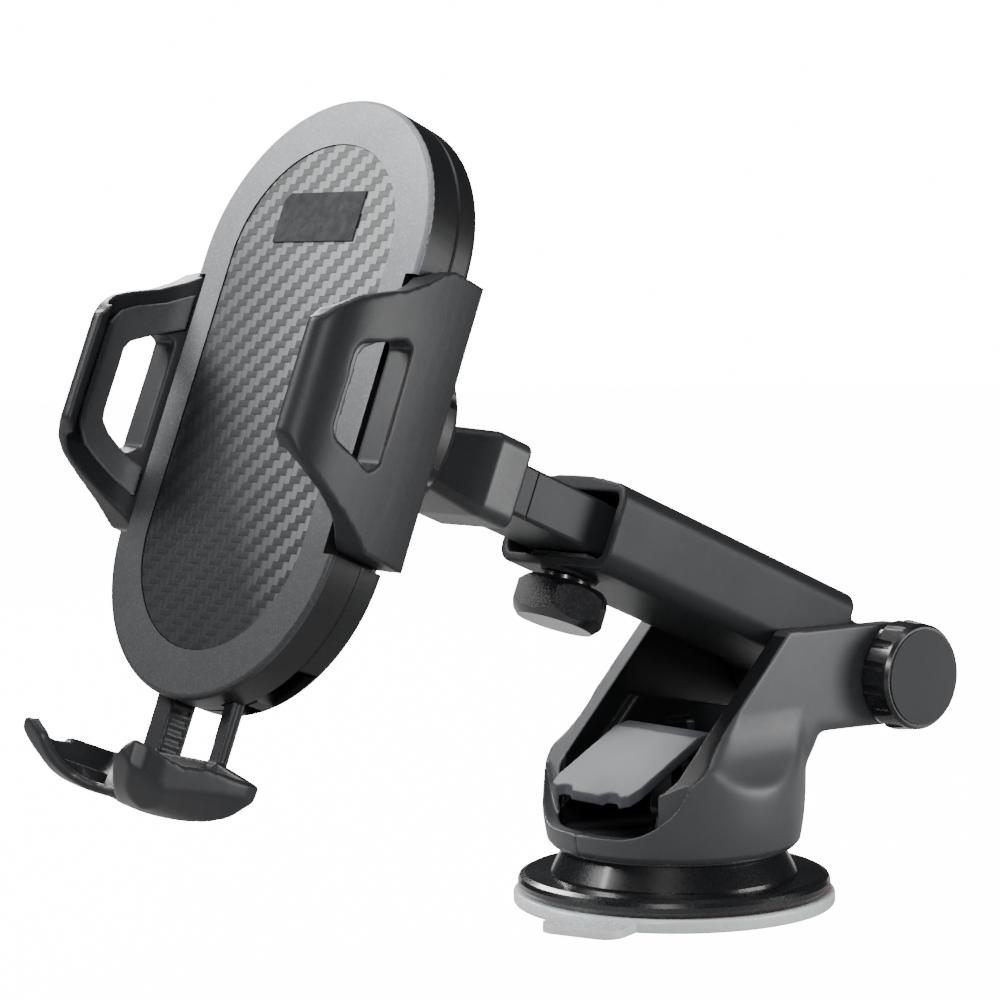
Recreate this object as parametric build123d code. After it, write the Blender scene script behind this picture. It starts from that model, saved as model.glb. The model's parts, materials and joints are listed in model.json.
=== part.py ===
from build123d import *
from math import sin, cos, radians, pi, sqrt
import os

os.makedirs("parts", exist_ok=True)

# ---------------------------------------------------------------- dimensions
# Suction base
gel_r = 36.0          # translucent gel pad radius
gel_t = 3.0           # gel pad thickness
disc_r = 35.0         # black suction disc radius
disc_z0, disc_z1 = 3.05, 6.8
ring_z1 = 13.0        # top of the conical pressure ring / underside of housing
lip_z = 18.3          # front lip of the housing opening
cav_r = 25.3          # inside radius of the housing
wall_x = 24.1         # outer face of the flat cheeks and hinge ears
ear_in = 19.3         # inner face of the hinge ears
hinge_y, hinge_z = 46.3, 49.2
ear_r = 11.7
pin_y, pin_z = 4.0, 27.0     # lever pivot
floor_z = 17.5
lever_open = 65.0     # deg
stem_drop = 3.0       # stem travel while the lever opens
# Arm (local frame: y = -distance along the arm from the hinge, z = height over the axis)
arm_tilt = 22.5       # deg above horizontal
arm_c = 4.7           # arm centreline above hinge axis
slv_w, slv_h = 36.4, 19.4
slv_l0, slv_l1 = 12.0, 86.5
cav_w, cav_h = 31.8, 15.0
bar_w = 24.0
bar_h0, bar_h1 = -1.1, 9.9
bar_l0, bar_l1 = 36.0, 113.0
head_l0, head_l1, head_l2 = 109.3, 117.5, 129.0
screw_l = 80.4
ball_l, ball_h, ball_r = 139.67, 4.7, 8.5
# Cradle (local frame: x across, y depth with the face at 0, z up the face)
pan, tilt, roll = 5.97, 21.64, 1.27
cr_R, cr_half = 33.2, 29.4   # stadium outline: end radius and half straight length
ins_R = 24.0
cr_seam, cr_T = 8.0, 14.0
notch_x, notch_z0, notch_z1 = 30.4, -31.0, 25.0
ball_y, ball_z = 30.4, 2.0   # ball centre seen from the cradle
pin_r = 6.0           # pinion pitch radius
tray_roll = 5.6       # deg, the foot's tray sits askew on its legs
SEAT1, SEAT2 = 9.5, 10.4

# ---------------------------------------------------------------- helpers
def poly(pts, axis, a, b):
    if axis == "x":
        p = [(a, u, v) for u, v in pts]; d = (1, 0, 0)
    elif axis == "y":
        p = [(u, a, v) for u, v in pts]; d = (0, 1, 0)
    else:
        p = [(u, v, a) for u, v in pts]; d = (0, 0, 1)
    f = make_face(Polyline(*p, close=True))
    return extrude(f, b - a, dir=d)

def box(x0, x1, y0, y1, z0, z1):
    return Pos((x0 + x1) / 2, (y0 + y1) / 2, (z0 + z1) / 2) * Box(x1 - x0, y1 - y0, z1 - z0)

def cylz(r, z0, z1, x=0, y=0):
    return Pos(x, y, (z0 + z1) / 2) * Cylinder(r, z1 - z0)

def cylx(r, x0, x1, y=0, z=0):
    return Pos((x0 + x1) / 2, y, z) * Rot(0, 90, 0) * Cylinder(r, x1 - x0)

def cyly(r, y0, y1, x=0, z=0):
    return Pos(x, (y0 + y1) / 2, z) * Rot(90, 0, 0) * Cylinder(r, y1 - y0)

def hexz(af, z0, z1, x=0, y=0):
    return Pos(x, y, z0) * extrude(RegularPolygon(af / 2, 6, major_radius=False), z1 - z0)

def stad(R, h, y0, y1):
    return box(-R, R, y0, y1, -h, h) + cyly(R, y0, y1, 0, h) + cyly(R, y0, y1, 0, -h)

def rev(pts, spline=None):
    return revolve(make_face(Polyline(*[(r, 0, z) for r, z in pts], close=True)), Axis.Z)

def one(s):
    ss = s.solids()
    return max(ss, key=lambda q: q.volume)

def fil(s, edges, r):
    for k in (r, r * 0.6, r * 0.3):
        try:
            return fillet(edges, k)
        except Exception:
            pass
    return s

def save(name, s):
    if isinstance(s, (list, tuple)):
        sol = []
        for q in s:
            sol += list(q.solids())
        s = Compound(children=sol) if len(sol) > 1 else sol[0]
    else:
        sol = s.solids()
        s = sol[0] if len(sol) == 1 else Compound(children=list(sol))
    s.label = name
    export_step(s, f"parts/{name}.step")

# ---------------------------------------------------------------- frames
t = radians(arm_tilt)
ARM = Location(Plane(origin=(0, hinge_y, hinge_z), x_dir=(1, 0, 0), z_dir=(0, sin(t), cos(t))))

def rz(a): return [[cos(a), -sin(a), 0], [sin(a), cos(a), 0], [0, 0, 1]]
def rx(a): return [[1, 0, 0], [0, cos(a), -sin(a)], [0, sin(a), cos(a)]]
def ry(a): return [[cos(a), 0, sin(a)], [0, 1, 0], [-sin(a), 0, cos(a)]]
def mm(A, B): return [[sum(A[i][k] * B[k][j] for k in range(3)) for j in range(3)] for i in range(3)]
RM = mm(mm(rz(radians(pan)), rx(radians(-tilt))), ry(radians(roll)))
ex, ey, ez = [tuple(RM[i][j] for i in range(3)) for j in range(3)]
BALL = (0.0, hinge_y - ball_l * cos(t) + ball_h * sin(t), hinge_z + ball_l * sin(t) + ball_h * cos(t))
CRO = tuple(BALL[i] - ball_y * ey[i] - ball_z * ez[i] for i in range(3))
CR = Location(Plane(origin=CRO, x_dir=ex, z_dir=ez))

# ================================================================ suction base
gel = cylz(gel_r, 0, gel_t)
gel = fil(gel, gel.edges().filter_by(GeomType.CIRCLE), 0.7)
ta = radians(-70)
tab = Pos(38.5 * cos(ta), 38.5 * sin(ta), 0.3) * Rot(0, 0, -70) * extrude(RectangleRounded(13, 19, 4.0), 1.9)
gel = gel + tab
gel -= cylz(9.3, 1.6, 9)
gel -= Pos(0, 0, -118.9) * Sphere(119.6)      # shallow vacuum dome under the pad
save("gel_pad", one(gel))

disc = rev([(4.3, 8.4), (12, 8.4), (13, 6.8), (33.4, 6.8), (34.6, 6.2), (35, 5.3), (35, 4.2), (34.4, disc_z0),
            (9.3, disc_z0), (9.3, 6.2), (4.3, 6.2)])
save("suction_disc", one(disc))

ring = rev([(27.6, 6.8), (27.6, 7.2), (24.9, 12.3), (24.9, ring_z1), (20.5, ring_z1), (20.5, 6.8)])
save("pressure_ring", one(ring))

# --- housing: round body, flat cheeks, raked mouth and two rear hinge ears
side = Spline((28.3, 0, 14.4), (29.2, 0, 20), (29.6, 0, 27), (29.5, 0, 38), (29.4, 0, 64))
prof = make_face([Polyline((0, 0, 64), (0, 0, 13), (27.0, 0, 13), (28.3, 0, 14.4)), side, Line((29.4, 0, 64), (0, 0, 64))])
body = revolve(prof, Axis.Z)
sh = [(wall_x, 90), (wall_x, 44), (24.5, 40.0), (25.7, 35.6), (27.7, 31.4), (30.5, 27.0), (45, 27.0), (45, 90)]
body -= poly(sh, "y", -45, 45)
body -= poly([(-x, z) for x, z in sh], "y", -45, 45)
body -= box(-50, 50, -50, 50, 61.2, 90)
ear = poly([(4, 61.2), (hinge_y, hinge_z + ear_r), (hinge_y, hinge_z - ear_r), (26, 37.9), (14, 38.6), (4, 40)], "x", -wall_x, wall_x)
ear += cylx(ear_r, -wall_x, wall_x, hinge_y, hinge_z)
body = body + ear
# raked front cut
body -= poly([(-45, 47.8 - 1.033 * 45), (13.0, 61.25), (13.0, 95), (-45, 95)], "x", -50, 50)
# bevelled crescent either side of the mouth
def ushape(hw, zb, r, y0, y1):
    s = box(-hw, hw, y0, y1, zb, 95)
    return fil(s, s.edges().filter_by(Axis.Y).group_by(Axis.Z)[0], r)
bev = poly([(-27, -15.0), (-16.4, -19.9), (16.4, -19.9), (27, -15.0), (27, -45), (-27, -45)], "z", 17, 90) & ushape(23.9, 18.35, 13.5, -45, -10)
body -= bev
# cavity, wider above a ledge parallel to the rake
cavA = cylz(cav_r, floor_z, 95) & box(-16.4, 16.4, -30, 30, floor_z, 95)
cavB = poly([(-30, 39.5 - 31), (21, 61.2), (21, 95), (-30, 95)], "x", -ear_in, ear_in) & cylz(cav_r, floor_z, 95)
cavC = poly([(-32, 95), (-32, 44), (6, 44), (14, 37.2), (70, 37.2), (70, 95)], "x", -ear_in, ear_in)
cavD = box(-ear_in, ear_in, 24, 70, 30, 95) - cylz(29.3, 20, 37.2)
body -= ushape(16.4, lip_z, 6.0, -45, -10)
body = body - cavA - cavB - cavC - cavD
body += rev([(26.6, 32.0), (28.8, 29.5), (30.6, 33.0), (32.0, 36.0), (32.4, 38.5), (30.2, 39.2), (28.6, 36.0)]) & box(-wall_x, wall_x, 14, 60, 29, 42)
body -= cylz(4.4, 5, 30)
body -= cylx(3.05, -40, 40, hinge_y, hinge_z)
body -= Pos(-wall_x - 0.1, hinge_y, hinge_z) * Rot(0, 90, 0) * extrude(RegularPolygon(5.1, 6, major_radius=False), 3.1)
SCR = [(27.35, 22.0), (27.35, 33.0), (-14, 15.2), (14, 15.2)]
for y, z in SCR:
    xe = 12.0 if y > 20 else 30
    body -= cylx(1.27, -8.0, 6.6, y, z)
    body -= cylx(2.5, 6.6, xe if y > 20 else 9.2, y, z)
# keep only the connected shell, then part it on the centre plane
left = one(body & box(-60, 0, -60, 90, 0, 120))
right = one(body & box(0, 60, -60, 90, 0, 120))
save("housing_left", left)
save("housing_right", right)
save("housing_screws", [cylx(1.25, -7.8, 6.65, y, z) + (cylx(2.4, 6.65, 8.6, y, z) - cylx(1.2, 7.6, 9, y, z)) for y, z in SCR])

# --- suction lever group
stem = cylz(4.0, 5.0, 16.2) + cylz(3.4, 16.0, pin_z - 4)
stem += cylz(8.6, 4.75, 6.1)
stem += box(-3.4, 3.4, -3.6, pin_y + 3.4, floor_z + 0.5 + stem_drop, pin_z + 3.2)
stem -= cylx(2.05, -10, 10, pin_y, pin_z)
save("stem", one(stem))
save("lever_pin", cylx(2.0, -10.2, 10.2, pin_y, pin_z))

# lever: sloping plate with a wavy front edge, two cheeks with cams
lev_pts = [(-26.2, 26.9), (-5.0, 38.5), (-1.0, 39.3), (4.0, 37.6), (8.4, 33.6), (9.4, 29), (7.2, 29), (6.6, 32.6), (3.2, 35.8), (-1.2, 37.0), (-4.4, 36.3), (-25.2, 24.9)]
plate = poly(lev_pts, "x", -14.0, 14.0)
wav = [(-14.2, -21.2), (-13.0, -24.6), (-10.6, -25.4), (-8.6, -24.4), (-6.4, -24.6), (-4.6, -25.9), (4.6, -25.9), (6.4, -24.6), (8.6, -24.4), (10.6, -25.4), (13.0, -24.6), (14.2, -21.2), (14.2, 30), (-14.2, 30)]
plate = plate & poly(wav, "z", 10, 60)
hmax = pin_z - floor_z - 0.12
th = radians(lever_open)
dh = stem_drop / th
cam = []
for i in range(0, 14):
    a = th * i / 13
    h = hmax - stem_drop * i / 13 - (0.10 if i else 0.0)
    al = -pi / 2 + a
    cam.append((pin_y + h * cos(al) - dh * (-sin(al)), pin_z + h * sin(al) - dh * cos(al)))
cam_pts = [(pin_y - 4.2, pin_z - 3.0), (pin_y - 4.6, pin_z - hmax + 1.6), (pin_y - 3.6, pin_z - hmax + 0.15)] + cam + [(pin_y + 4.6, pin_z + 3.0), (pin_y + 2.2, pin_z + 7.6), (pin_y - 3.4, pin_z + 10.2), (pin_y - 6.8, pin_z + 9.9)]
cheeks = poly(cam_pts, "x", 3.9, 7.4) + poly(cam_pts, "x", -7.4, -3.9)
lever = plate + cheeks - cylx(2.06, -30, 30, pin_y, pin_z)
lever -= box(-3.9, 3.9, -8, 14, 5, 32.4)
save("lever", one(lever))

# ================================================================ hinge hardware
bolt = cylx(3.0, -21.3, 29.5, hinge_y, hinge_z) + Pos(-wall_x + 0.2, hinge_y, hinge_z) * Rot(0, 90, 0) * extrude(RegularPolygon(5.0, 6, major_radius=False), 2.65)
save("hinge_bolt", one(bolt))
def wash(x0, x1, r): return cylx(r, x0, x1, hinge_y, hinge_z) - cylx(3.1, x0 - 1, x1 + 1, hinge_y, hinge_z)
save("hinge_washers", [wash(18.85, 19.27, 9.0), wash(-19.27, -18.85, 9.0), wash(wall_x + 0.02, 24.5, 7.5)])
kn = Pos(24.6, hinge_y, hinge_z) * Rot(0, 90, 0) * revolve(make_face(Polyline((0, 0, 0), (11.2, 0, 0), (12.3, 0, 0.9), (12.5, 0, 2.0), (11.9, 0, 7.3), (11.3, 0, 8.1), (0, 0, 8.1), close=True)), Axis.Z)
for i in range(14):
    a = 2 * pi * i / 14 + 0.2
    kn -= cylx(1.5, 23, 31.2, hinge_y + 13.1 * cos(a), hinge_z + 13.1 * sin(a))
kn -= cylx(3.08, 20, 30.2, hinge_y, hinge_z)
kn -= Pos(24.4, hinge_y, hinge_z) * Rot(0, 90, 0) * extrude(RegularPolygon(5.03, 6, major_radius=False), 5.1)
kn -= cylx(10.75, 31.8, 40, hinge_y, hinge_z)
save("hinge_knob", one(kn))
save("knob_cap", cylx(10.7, 31.85, 33.0, hinge_y, hinge_z))
nut = Pos(24.65, hinge_y, hinge_z) * Rot(0, 90, 0) * extrude(RegularPolygon(5.0, 6, major_radius=False), 4.7)
save("knob_nut", one(nut - cylx(3.07, 20, 32, hinge_y, hinge_z)))

# ================================================================ telescopic arm (arm frame)
def secy(sk, l0, l1):
    # section drawn in x,h and swept along the arm
    return Pos(0, -l0, 0) * Rot(90, 0, 0) * extrude(sk, l1 - l0)
crown = Pos(0, arm_c) * (RectangleRounded(slv_w, slv_h, 4.2) + (Pos(0, slv_h / 2 + 1.2 - 82.3) * Circle(82.3) & Pos(0, slv_h / 2) * Rectangle(28.4, 3.0)))
slv = secy(crown, slv_l0, slv_l1)
slv -= secy(Pos(0, arm_c - 0.0) * RectangleRounded(cav_w, cav_h, 2.0), 15.5, slv_l1 + 5)
slv += cylx(10.6, -18.75, 18.75, 0, 0)
slv += poly([(-slv_l0 - 2, -4.9), (-slv_l0 - 2, 9.0), (-8.5, 8.4), (-3, 9.6), (0, 9.5), (0, -9.5), (-5, -9.3), (-9.0, -5.2)], "x", -18.0, 18.0)
slv += cylz(6.4, -6.0, -2.9, 0, -screw_l)
slv -= cylx(3.06, -30, 30, 0, 0)
slv -= cylz(2.08, -9, 0, 0, -screw_l)
slv -= hexz(7.04, -5.2, -2.7, 0, -screw_l)
save("arm_sleeve", ARM * one(slv))
save("thumb_nut", ARM * (hexz(7.0, -5.15, -2.95, 0, -screw_l) - cylz(2.07, -9, 0, 0, -screw_l)))

stud = cylz(2.0, -12.0, -2.6, 0, -screw_l)
save("thumb_stud", ARM * stud)
tk = Pos(0, -screw_l, 0) * extrude(RegularPolygon(10.9, 6, rotation=12), -9.6)
tk = Pos(0, 0, -7.0) * tk
cone = revolve(make_face(Polyline((0, 0, -16.6), (8.4, 0, -16.6), (10.9, 0, -14.0), (10.9, 0, -9.8), (8.6, 0, -7.6), (5.4, 0, -7.4), (5.4, 0, -6.3), (0, 0, -6.3), close=True)), Axis.Z)
tk = (Pos(0, 0, 0) * tk & (Pos(0, -screw_l, 0) * cone)) + cylz(5.4, -9.2, -6.3, 0, -screw_l)
tk -= cylz(2.01, -12.1, 0, 0, -screw_l)
save("thumb_knob", ARM * one(tk))
save("brake_shoe", ARM * (box(-9, 9, -screw_l - 4.6, -screw_l + 4.6, -2.5, -1.45)))

bar = secy(Pos(0, (bar_h0 + bar_h1) / 2) * RectangleRounded(bar_w, bar_h1 - bar_h0, 0.9), bar_l0, bar_l1)
bar -= box(-9.5, 9.5, -108, -30, -3, 7.6) & secy(Pos(0, 3.3) * Rectangle(19, 8.6), 30, 108)
bar += box(-9.6, 9.6, -108, -bar_l0, bar_h0, bar_h0 + 1.9)
bar -= box(11.7, 13, -106.0, -105.6, -2, 12)
bar -= box(-13, -11.7, -106.0, -105.6, -2, 12)
save("inner_bar", ARM * one(bar))
gb = secy(Pos(0, arm_c) * RectangleRounded(30.0, 14.4, 1.6), bar_l0, 47)
gb -= secy(Pos(0, (bar_h0 + bar_h1) / 2) * Rectangle(bar_w + 0.06, bar_h1 - bar_h0 + 0.06), 30, 50)
save("guide_block", ARM * one(gb))

# head block: chamfered square block tapering to the ball stud
hd = secy(Pos(0, 4.8) * RectangleRounded(25.0, 18.6, 2.6), head_l0, head_l1)
s0 = Plane(origin=(0, -head_l1, 0), x_dir=(1, 0, 0), z_dir=(0, -1, 0)) * (Pos(0, 4.8) * RectangleRounded(25.0, 18.6, 2.6))
s1 = Plane(origin=(0, -head_l2, 0), x_dir=(1, 0, 0), z_dir=(0, -1, 0)) * (Pos(0, ball_h) * RectangleRounded(14.0, 13.0, 2.6))
hd += loft([s0.face(), s1.face()])
hd -= secy(Pos(0, (bar_h0 + bar_h1) / 2) * Rectangle(bar_w + 0.06, bar_h1 - bar_h0 + 0.06), head_l0 - 3, bar_l1 + 0.05)
hd -= cyly(4.55, -140, -116, 0, ball_h)
save("arm_head", ARM * one(hd))
bs = Pos(0, -ball_l, ball_h) * Sphere(ball_r) + cyly(4.5, -ball_l, -116.1, 0, ball_h)
save("ball_stud", ARM * one(bs))

# ================================================================ ball joint (cradle frame)
def cup(r0, r1, y1):
    s = Pos(0, ball_y, ball_z) * Sphere(r1) - Pos(0, ball_y, ball_z) * Sphere(r0)
    return s & box(-30, 30, ball_y - 20, y1, -30, 30)
save("ball_cup_inner", CR * one(cup(ball_r + 0.05, SEAT1, ball_y - 3.6)))
save("ball_cup_outer", CR * one(cup(SEAT1 + 0.05, SEAT2, ball_y - 2.6)))

nutp = revolve(make_face(Polyline((14.1, 0, 16.6), (19.8, 0, 16.6), (21.2, 0, 18.2), (22.2, 0, 24), (22.0, 0, 30.4), (20.0, 0, 33.0), (7.3, 0, 33.0), (7.3, 0, 26), (14.1, 0, 26), close=True)), Axis.Z)
nut_loc = Pos(0, 0, ball_z) * Rot(-90, 0, 0)      # axis z -> +y
cn = nut_loc * nutp
cn -= cyly(14.1, 10, 29.7, 0, ball_z)
cn -= Pos(0, ball_y, ball_z) * Sphere(ball_r + 0.08)
cn -= cyly(7.3, 20, 40, 0, ball_z)
for i in range(8):
    a = 2 * pi * (i + 0.5) / 8
    cn -= cyly(3.2, 18.4, 40, 23.9 * cos(a), ball_z + 23.9 * sin(a))
save("collar_nut", CR * one(cn))

# ================================================================ cradle shells
def notch(y0, y1):
    return box(notch_x, 60, y0, y1, notch_z0, notch_z1) + box(-60, -notch_x, y0, y1, notch_z0, notch_z1)
bz = stad(cr_R, cr_half, 0, cr_seam)
bz = fil(bz, bz.faces().sort_by(Axis.Y)[0].edges(), 1.1)
bz -= stad(cr_R - 2.2, cr_half, 3.0, cr_seam + 1) - (box(28.2, 40, 0, 20, notch_z0 - 2.2, notch_z1 + 2.2) + box(-40, -28.2, 0, 20, notch_z0 - 2.2, notch_z1 + 2.2))
bz -= stad(ins_R, 28.8, -1, 1.15)
bz -= notch(-1, 20)
RK = [(5.3, 12.4), (-12.4, -5.3), (15.4, 20.6), (-26.6, -21.4)]
for a, b in RK:
    bz -= box(-40, 40, 3.0, 6.9, a, b)
bz -= box(-12.9, -6.6, 4.9, 14, -70, -20) + box(8.0, 12.0, 4.9, 14, -70, -20)
bz += cyly(2.5, 3.0, 7.9, 0, 0) - cyly(1.0, 3.5, 9, 0, 0)
for x, z in ((19, 40), (-19, 40), (21, -42), (-21, -42)):
    bz += cyly(3.2, 2.9, 7.9, x, z) - cyly(1.27, 3.4, 9, x, z)
save("front_bezel", CR * one(bz))

ins = stad(ins_R - 0.12, 28.8, 0.25, 1.1)
save("carbon_insert", CR * one(ins))
lab = poly([(-10.6, 42.4), (12.2, 42.4), (12.2, 31.8), (-12.2, 31.8), (-12.2, 40.8)], "y", -0.12, 0.22)
save("blank_badge", CR * one(lab))

rs = stad(cr_R, cr_half, cr_seam, cr_T)
rs = fil(rs, rs.faces().sort_by(Axis.Y)[-1].edges(), 2.0)
rs -= stad(cr_R - 2.2, cr_half, cr_seam - 1, 12.0) - (box(28.2, 40, 0, 20, notch_z0 - 2.2, notch_z1 + 2.2) + box(-40, -28.2, 0, 20, notch_z0 - 2.2, notch_z1 + 2.2))
rs -= notch(0, 20)
rs -= box(-12.9, -6.6, 4.9, 12.6, -75, -20) + box(8.0, 12.0, 4.9, 12.6, -75, -20)
rs -= box(14.5, 25.5, 4, 12.4, -75, -52)
rs += cyly(14.0, 13.0, 29.5, 0, ball_z) + cyly(16.2, 13.0, 15.6, 0, ball_z)
rs -= Pos(0, ball_y, ball_z) * Sphere(SEAT2 + 0.05)
for x, z in ((19, 40), (-19, 40), (21, -42), (-21, -42)):
    rs += cyly(3.2, 8.0, 12.5, x, z)
    rs -= cyly(1.28, 5, 20, x, z) + cyly(2.6, 12.3, 20, x, z)
rs += cyly(5.0, 11.0, 13, 0, 0)
# window for the release button
rs -= box(-5.2, 5.2, 11, 20, 24.8, 35.2)
rs += box(-7.6, 7.6, 9.4, 10.6, 22, 38) - box(-2.2, 2.2, 9, 11, 27.8, 32.2)
rs += box(-7.6, -6.2, 10, 13, 22, 38) + box(6.2, 7.6, 10, 13, 22, 38)
save("rear_shell", CR * one(rs))
save("case_screws", [CR * (cyly(1.25, 4.2, 12.35, x, z) + (cyly(2.45, 12.35, 13.7, x, z) - cyly(1.0, 13.0, 14, x, z))) for x, z in ((19, 40), (-19, 40), (21, -42), (-21, -42))])

# ---- release button with its spring
btn = box(-4.9, 4.9, 12.2, 15.6, 25.1, 34.9)
btn = fil(btn, btn.faces().sort_by(Axis.Y)[-1].edges(), 0.8)
btn += box(-6.0, 6.0, 11.4, 11.95, 24.0, 36.0) + box(-4.0, 4.0, 11.8, 12.5, 26, 34)
for k in (-2, 0, 2):
    btn -= box(-3.4, 3.4, 15.3, 16, 29.7 + k, 30.3 + k)
btn += cyly(1.6, 10.7, 11.5, 0, 30)
save("release_button", CR * one(btn))

# ---- pinion
def gear(rp, n, y0, y1, add=0.75, ded=0.9):
    pts = []
    for i in range(n):
        c = 2 * pi * i / n
        w = pi / n
        for f, r in ((-0.78, rp - ded), (-0.30, rp + add), (0.30, rp + add), (0.78, rp - ded)):
            pts.append((r * cos(c + f * w), r * sin(c + f * w)))
    return poly(pts, "y", y0, y1)
N = 16
pitch = 2 * pi * pin_r / N
pn = Rot(0, 0, 0) * gear(pin_r, N, 3.35, 6.5) 
pn -= cyly(2.56, 0, 10, 0, 0)
save("pinion", CR * one(pn))

def rack(x0, x1, zin, zout, ph):
    # toothed bar; teeth point towards the pinion (zin side)
    s = 1 if zout > zin else -1
    pts = []
    k = int(x0 // pitch) - 1
    x = x0
    pts.append((x0, zout))
    a0 = zin + s * 0.1
    n = int((x1 - x0) / pitch) + 2
    base = zin + s * 1.6
    pts.append((x0, base))
    k0 = int((x0 - ph) / pitch) + 1
    while True:
        c = ph + k0 * pitch
        if c + pitch / 2 > x1:
            break
        if c - pitch / 2 > x0:
            pts += [(c - 0.33 * pitch, base), (c - 0.12 * pitch, zin + s * 0.05), (c + 0.12 * pitch, zin + s * 0.05), (c + 0.33 * pitch, base)]
        k0 += 1
    pts += [(x1, base), (x1, zout)]
    return poly(pts, "y", 3.45, 6.4)

# ---- wings
sec_out = [(38.0, 13.7), (38.9, 8), (39.5, 1), (39.7, -6), (39.3, -12.2), (38.2, -16.5), (36.2, -19.5), (33.7, -20.9), (31.5, -20.5)]
sec_in = [(31.7, -18.3), (33.6, -18.3), (35.4, -16.4), (36.5, -12.4), (36.2, -8.0), (34.6, -3.4), (32.2, 0.2), (30.8, 3.2), (30.8, 13.7)]
def wing_face(m):
    o = Spline(*[(m * x, y, 0) for x, y in sec_out])
    i = Spline(*[(m * x, y, 0) for x, y in sec_in[:-1]])
    e1 = Line((m * sec_out[-1][0], sec_out[-1][1], 0), (m * sec_in[0][0], sec_in[0][1], 0))
    e2 = Line((m * 30.8, 3.2, 0), (m * 30.8, 13.7, 0))
    e3 = Line((m * 30.8, 13.7, 0), (m * 38.0, 13.7, 0))
    return make_face([o, e1, i, e2, e3])
out_yz = [(15, 27.4), (4.6, 27.2), (1.6, 25.4), (-1.6, 22.4), (-6.0, 19.2), (-11.4, 16.6), (-15.6, 14.2), (-18.4, 11.4), (-20.0, 8.8), (-22.5, 7.5), (-22.5, -13.4), (-20.0, -14.9), (-18.2, -17.4), (-15.0, -19.9), (-10.4, -22.2), (-5.6, -24.6), (-1.0, -27.4), (2.4, -29.9), (15, -30.2)]
win_yz = [(-12.0, 6.2), (-3.0, 10.4), (-0.7, 9.6), (-0.7, -13.2), (-2.8, -15.4), (-12.0, -12.0), (-13.0, -10.4), (-13.0, 4.6)]
def wing(m):
    w = Pos(0, 0, -32) * extrude(wing_face(m), 62, dir=(0, 0, 1))
    w = w & poly(out_yz, "x", -60, 60)
    w -= poly(win_yz, "x", 29 if m > 0 else -60, 60 if m > 0 else -29)
    # tongue of the root stays inside the notch height
    w -= (box(20, 34.2, -2, 20, 24.7, 40) + box(20, 34.2, -2, 20, -40, -30.7)) if m > 0 else (box(-34.2, -20, -2, 20, 24.7, 40) + box(-34.2, -20, -2, 20, -40, -30.7))
    # hollow back of the root
    w -= box(32.6, 36.0, 5.5, 16, -27, 22) if m > 0 else box(-36.0, -32.6, 5.5, 16, -27, 22)
    return w
ph = 0.0
wl = wing(-1) + rack(-31.5, 20.0, pin_r - 0.75 + 0.15, 12.0, pitch * 0.5) + box(-31.5, -6.0, 3.45, 5.2, -26.2, -21.8)
wr = wing(1) + rack(-20.0, 31.5, -(pin_r - 0.75 + 0.15), -12.0, pitch * 0.5) + box(6.0, 31.5, 3.45, 5.2, 15.8, 20.2)
save("wing_left", CR * one(wl))
save("wing_right", CR * one(wr))

# soft C-shaped pads on the inner faces of the wings
pad_out = [(-0.2, 20.2), (-4.5, 16.8), (-10.0, 14.0), (-13.6, 11.6), (-16.0, 8.2), (-16.9, 3.0), (-16.9, -8.8), (-15.6, -13.2), (-12.2, -16.8), (-6.5, -20.0), (-1.5, -22.8), (-0.2, -23.6)]
pad_in = [(-0.2, -17.4), (-2.6, -16.4), (-8.0, -12.8), (-10.0, -10.8), (-10.3, -9), (-10.3, 4.4), (-9.4, 6.4), (-3.6, 10.4), (-0.2, 12.6)]
def pad(m):
    off = 1.15
    so = [(x - 0.06, y) for x, y in sec_in[1:8]]
    si = []
    pts = sec_in[1:8]
    for k, (x, y) in enumerate(pts):
        a = pts[max(k - 1, 0)]; b = pts[min(k + 1, len(pts) - 1)]
        dx, dy = b[0] - a[0], b[1] - a[1]
        L = sqrt(dx * dx + dy * dy)
        si.append((x - 0.06 - off * dy / L, y + off * dx / L))
    o = Spline(*[(m * x, y, 0) for x, y in so])
    i = Spline(*[(m * x, y, 0) for x, y in si])
    f = make_face([o, Line((m * so[-1][0], so[-1][1], 0), (m * si[-1][0], si[-1][1], 0)), i, Line((m * si[0][0], si[0][1], 0), (m * so[0][0], so[0][1], 0))])
    p = Pos(0, 0, -32) * extrude(f, 62, dir=(0, 0, 1))
    p = p & poly(pad_out + pad_in, "x", -60, 60)
    return p - wing(m)
save("wing_pad_left", CR * one(pad(-1)))
save("wing_pad_right", CR * one(pad(1)))

# ---- foot: two legs and a scooped shelf split by a cable notch
fo = [(7.6, -64), (7.6, -70), (7.6, -75.4), (6.2, -79.0), (3.0, -81.7), (-1.4, -83.6), (-6.5, -84.6), (-11.8, -83.8), (-15.6, -81.8), (-18.4, -78.4), (-19.9, -75.0), (-20.6, -70), (-20.6, -64)]
fi = [(-18.7, -63), (-18.7, -70), (-17.9, -75.2), (-16.2, -78.2), (-13.6, -80.8), (-10.4, -82.2), (-6.3, -82.8), (-2.0, -81.8), (1.8, -79.9), (4.4, -77.4), (5.4, -75.0), (5.6, -70), (5.6, -63)]
zb = [(-25.2, -67.5), (-24.8, -72.0), (-24.0, -74.6), (-22.6, -76.9), (-20.2, -80.0), (-17.5, -82.8), (-14.0, -84.1), (-10.0, -84.6), (0, -84.2), (10.0, -84.6), (14.0, -84.1), (17.5, -82.8), (20.2, -80.0), (22.6, -76.9), (24.0, -74.6), (24.8, -72.0), (25.2, -68.0)]
def sect(pts):
    f = make_face([Spline(*[(-30, y, z) for y, z in pts]), Line((-30, pts[-1][0], pts[-1][1]), (-30, pts[0][0], pts[0][1]))])
    return extrude(f, 60, dir=(1, 0, 0))
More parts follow.
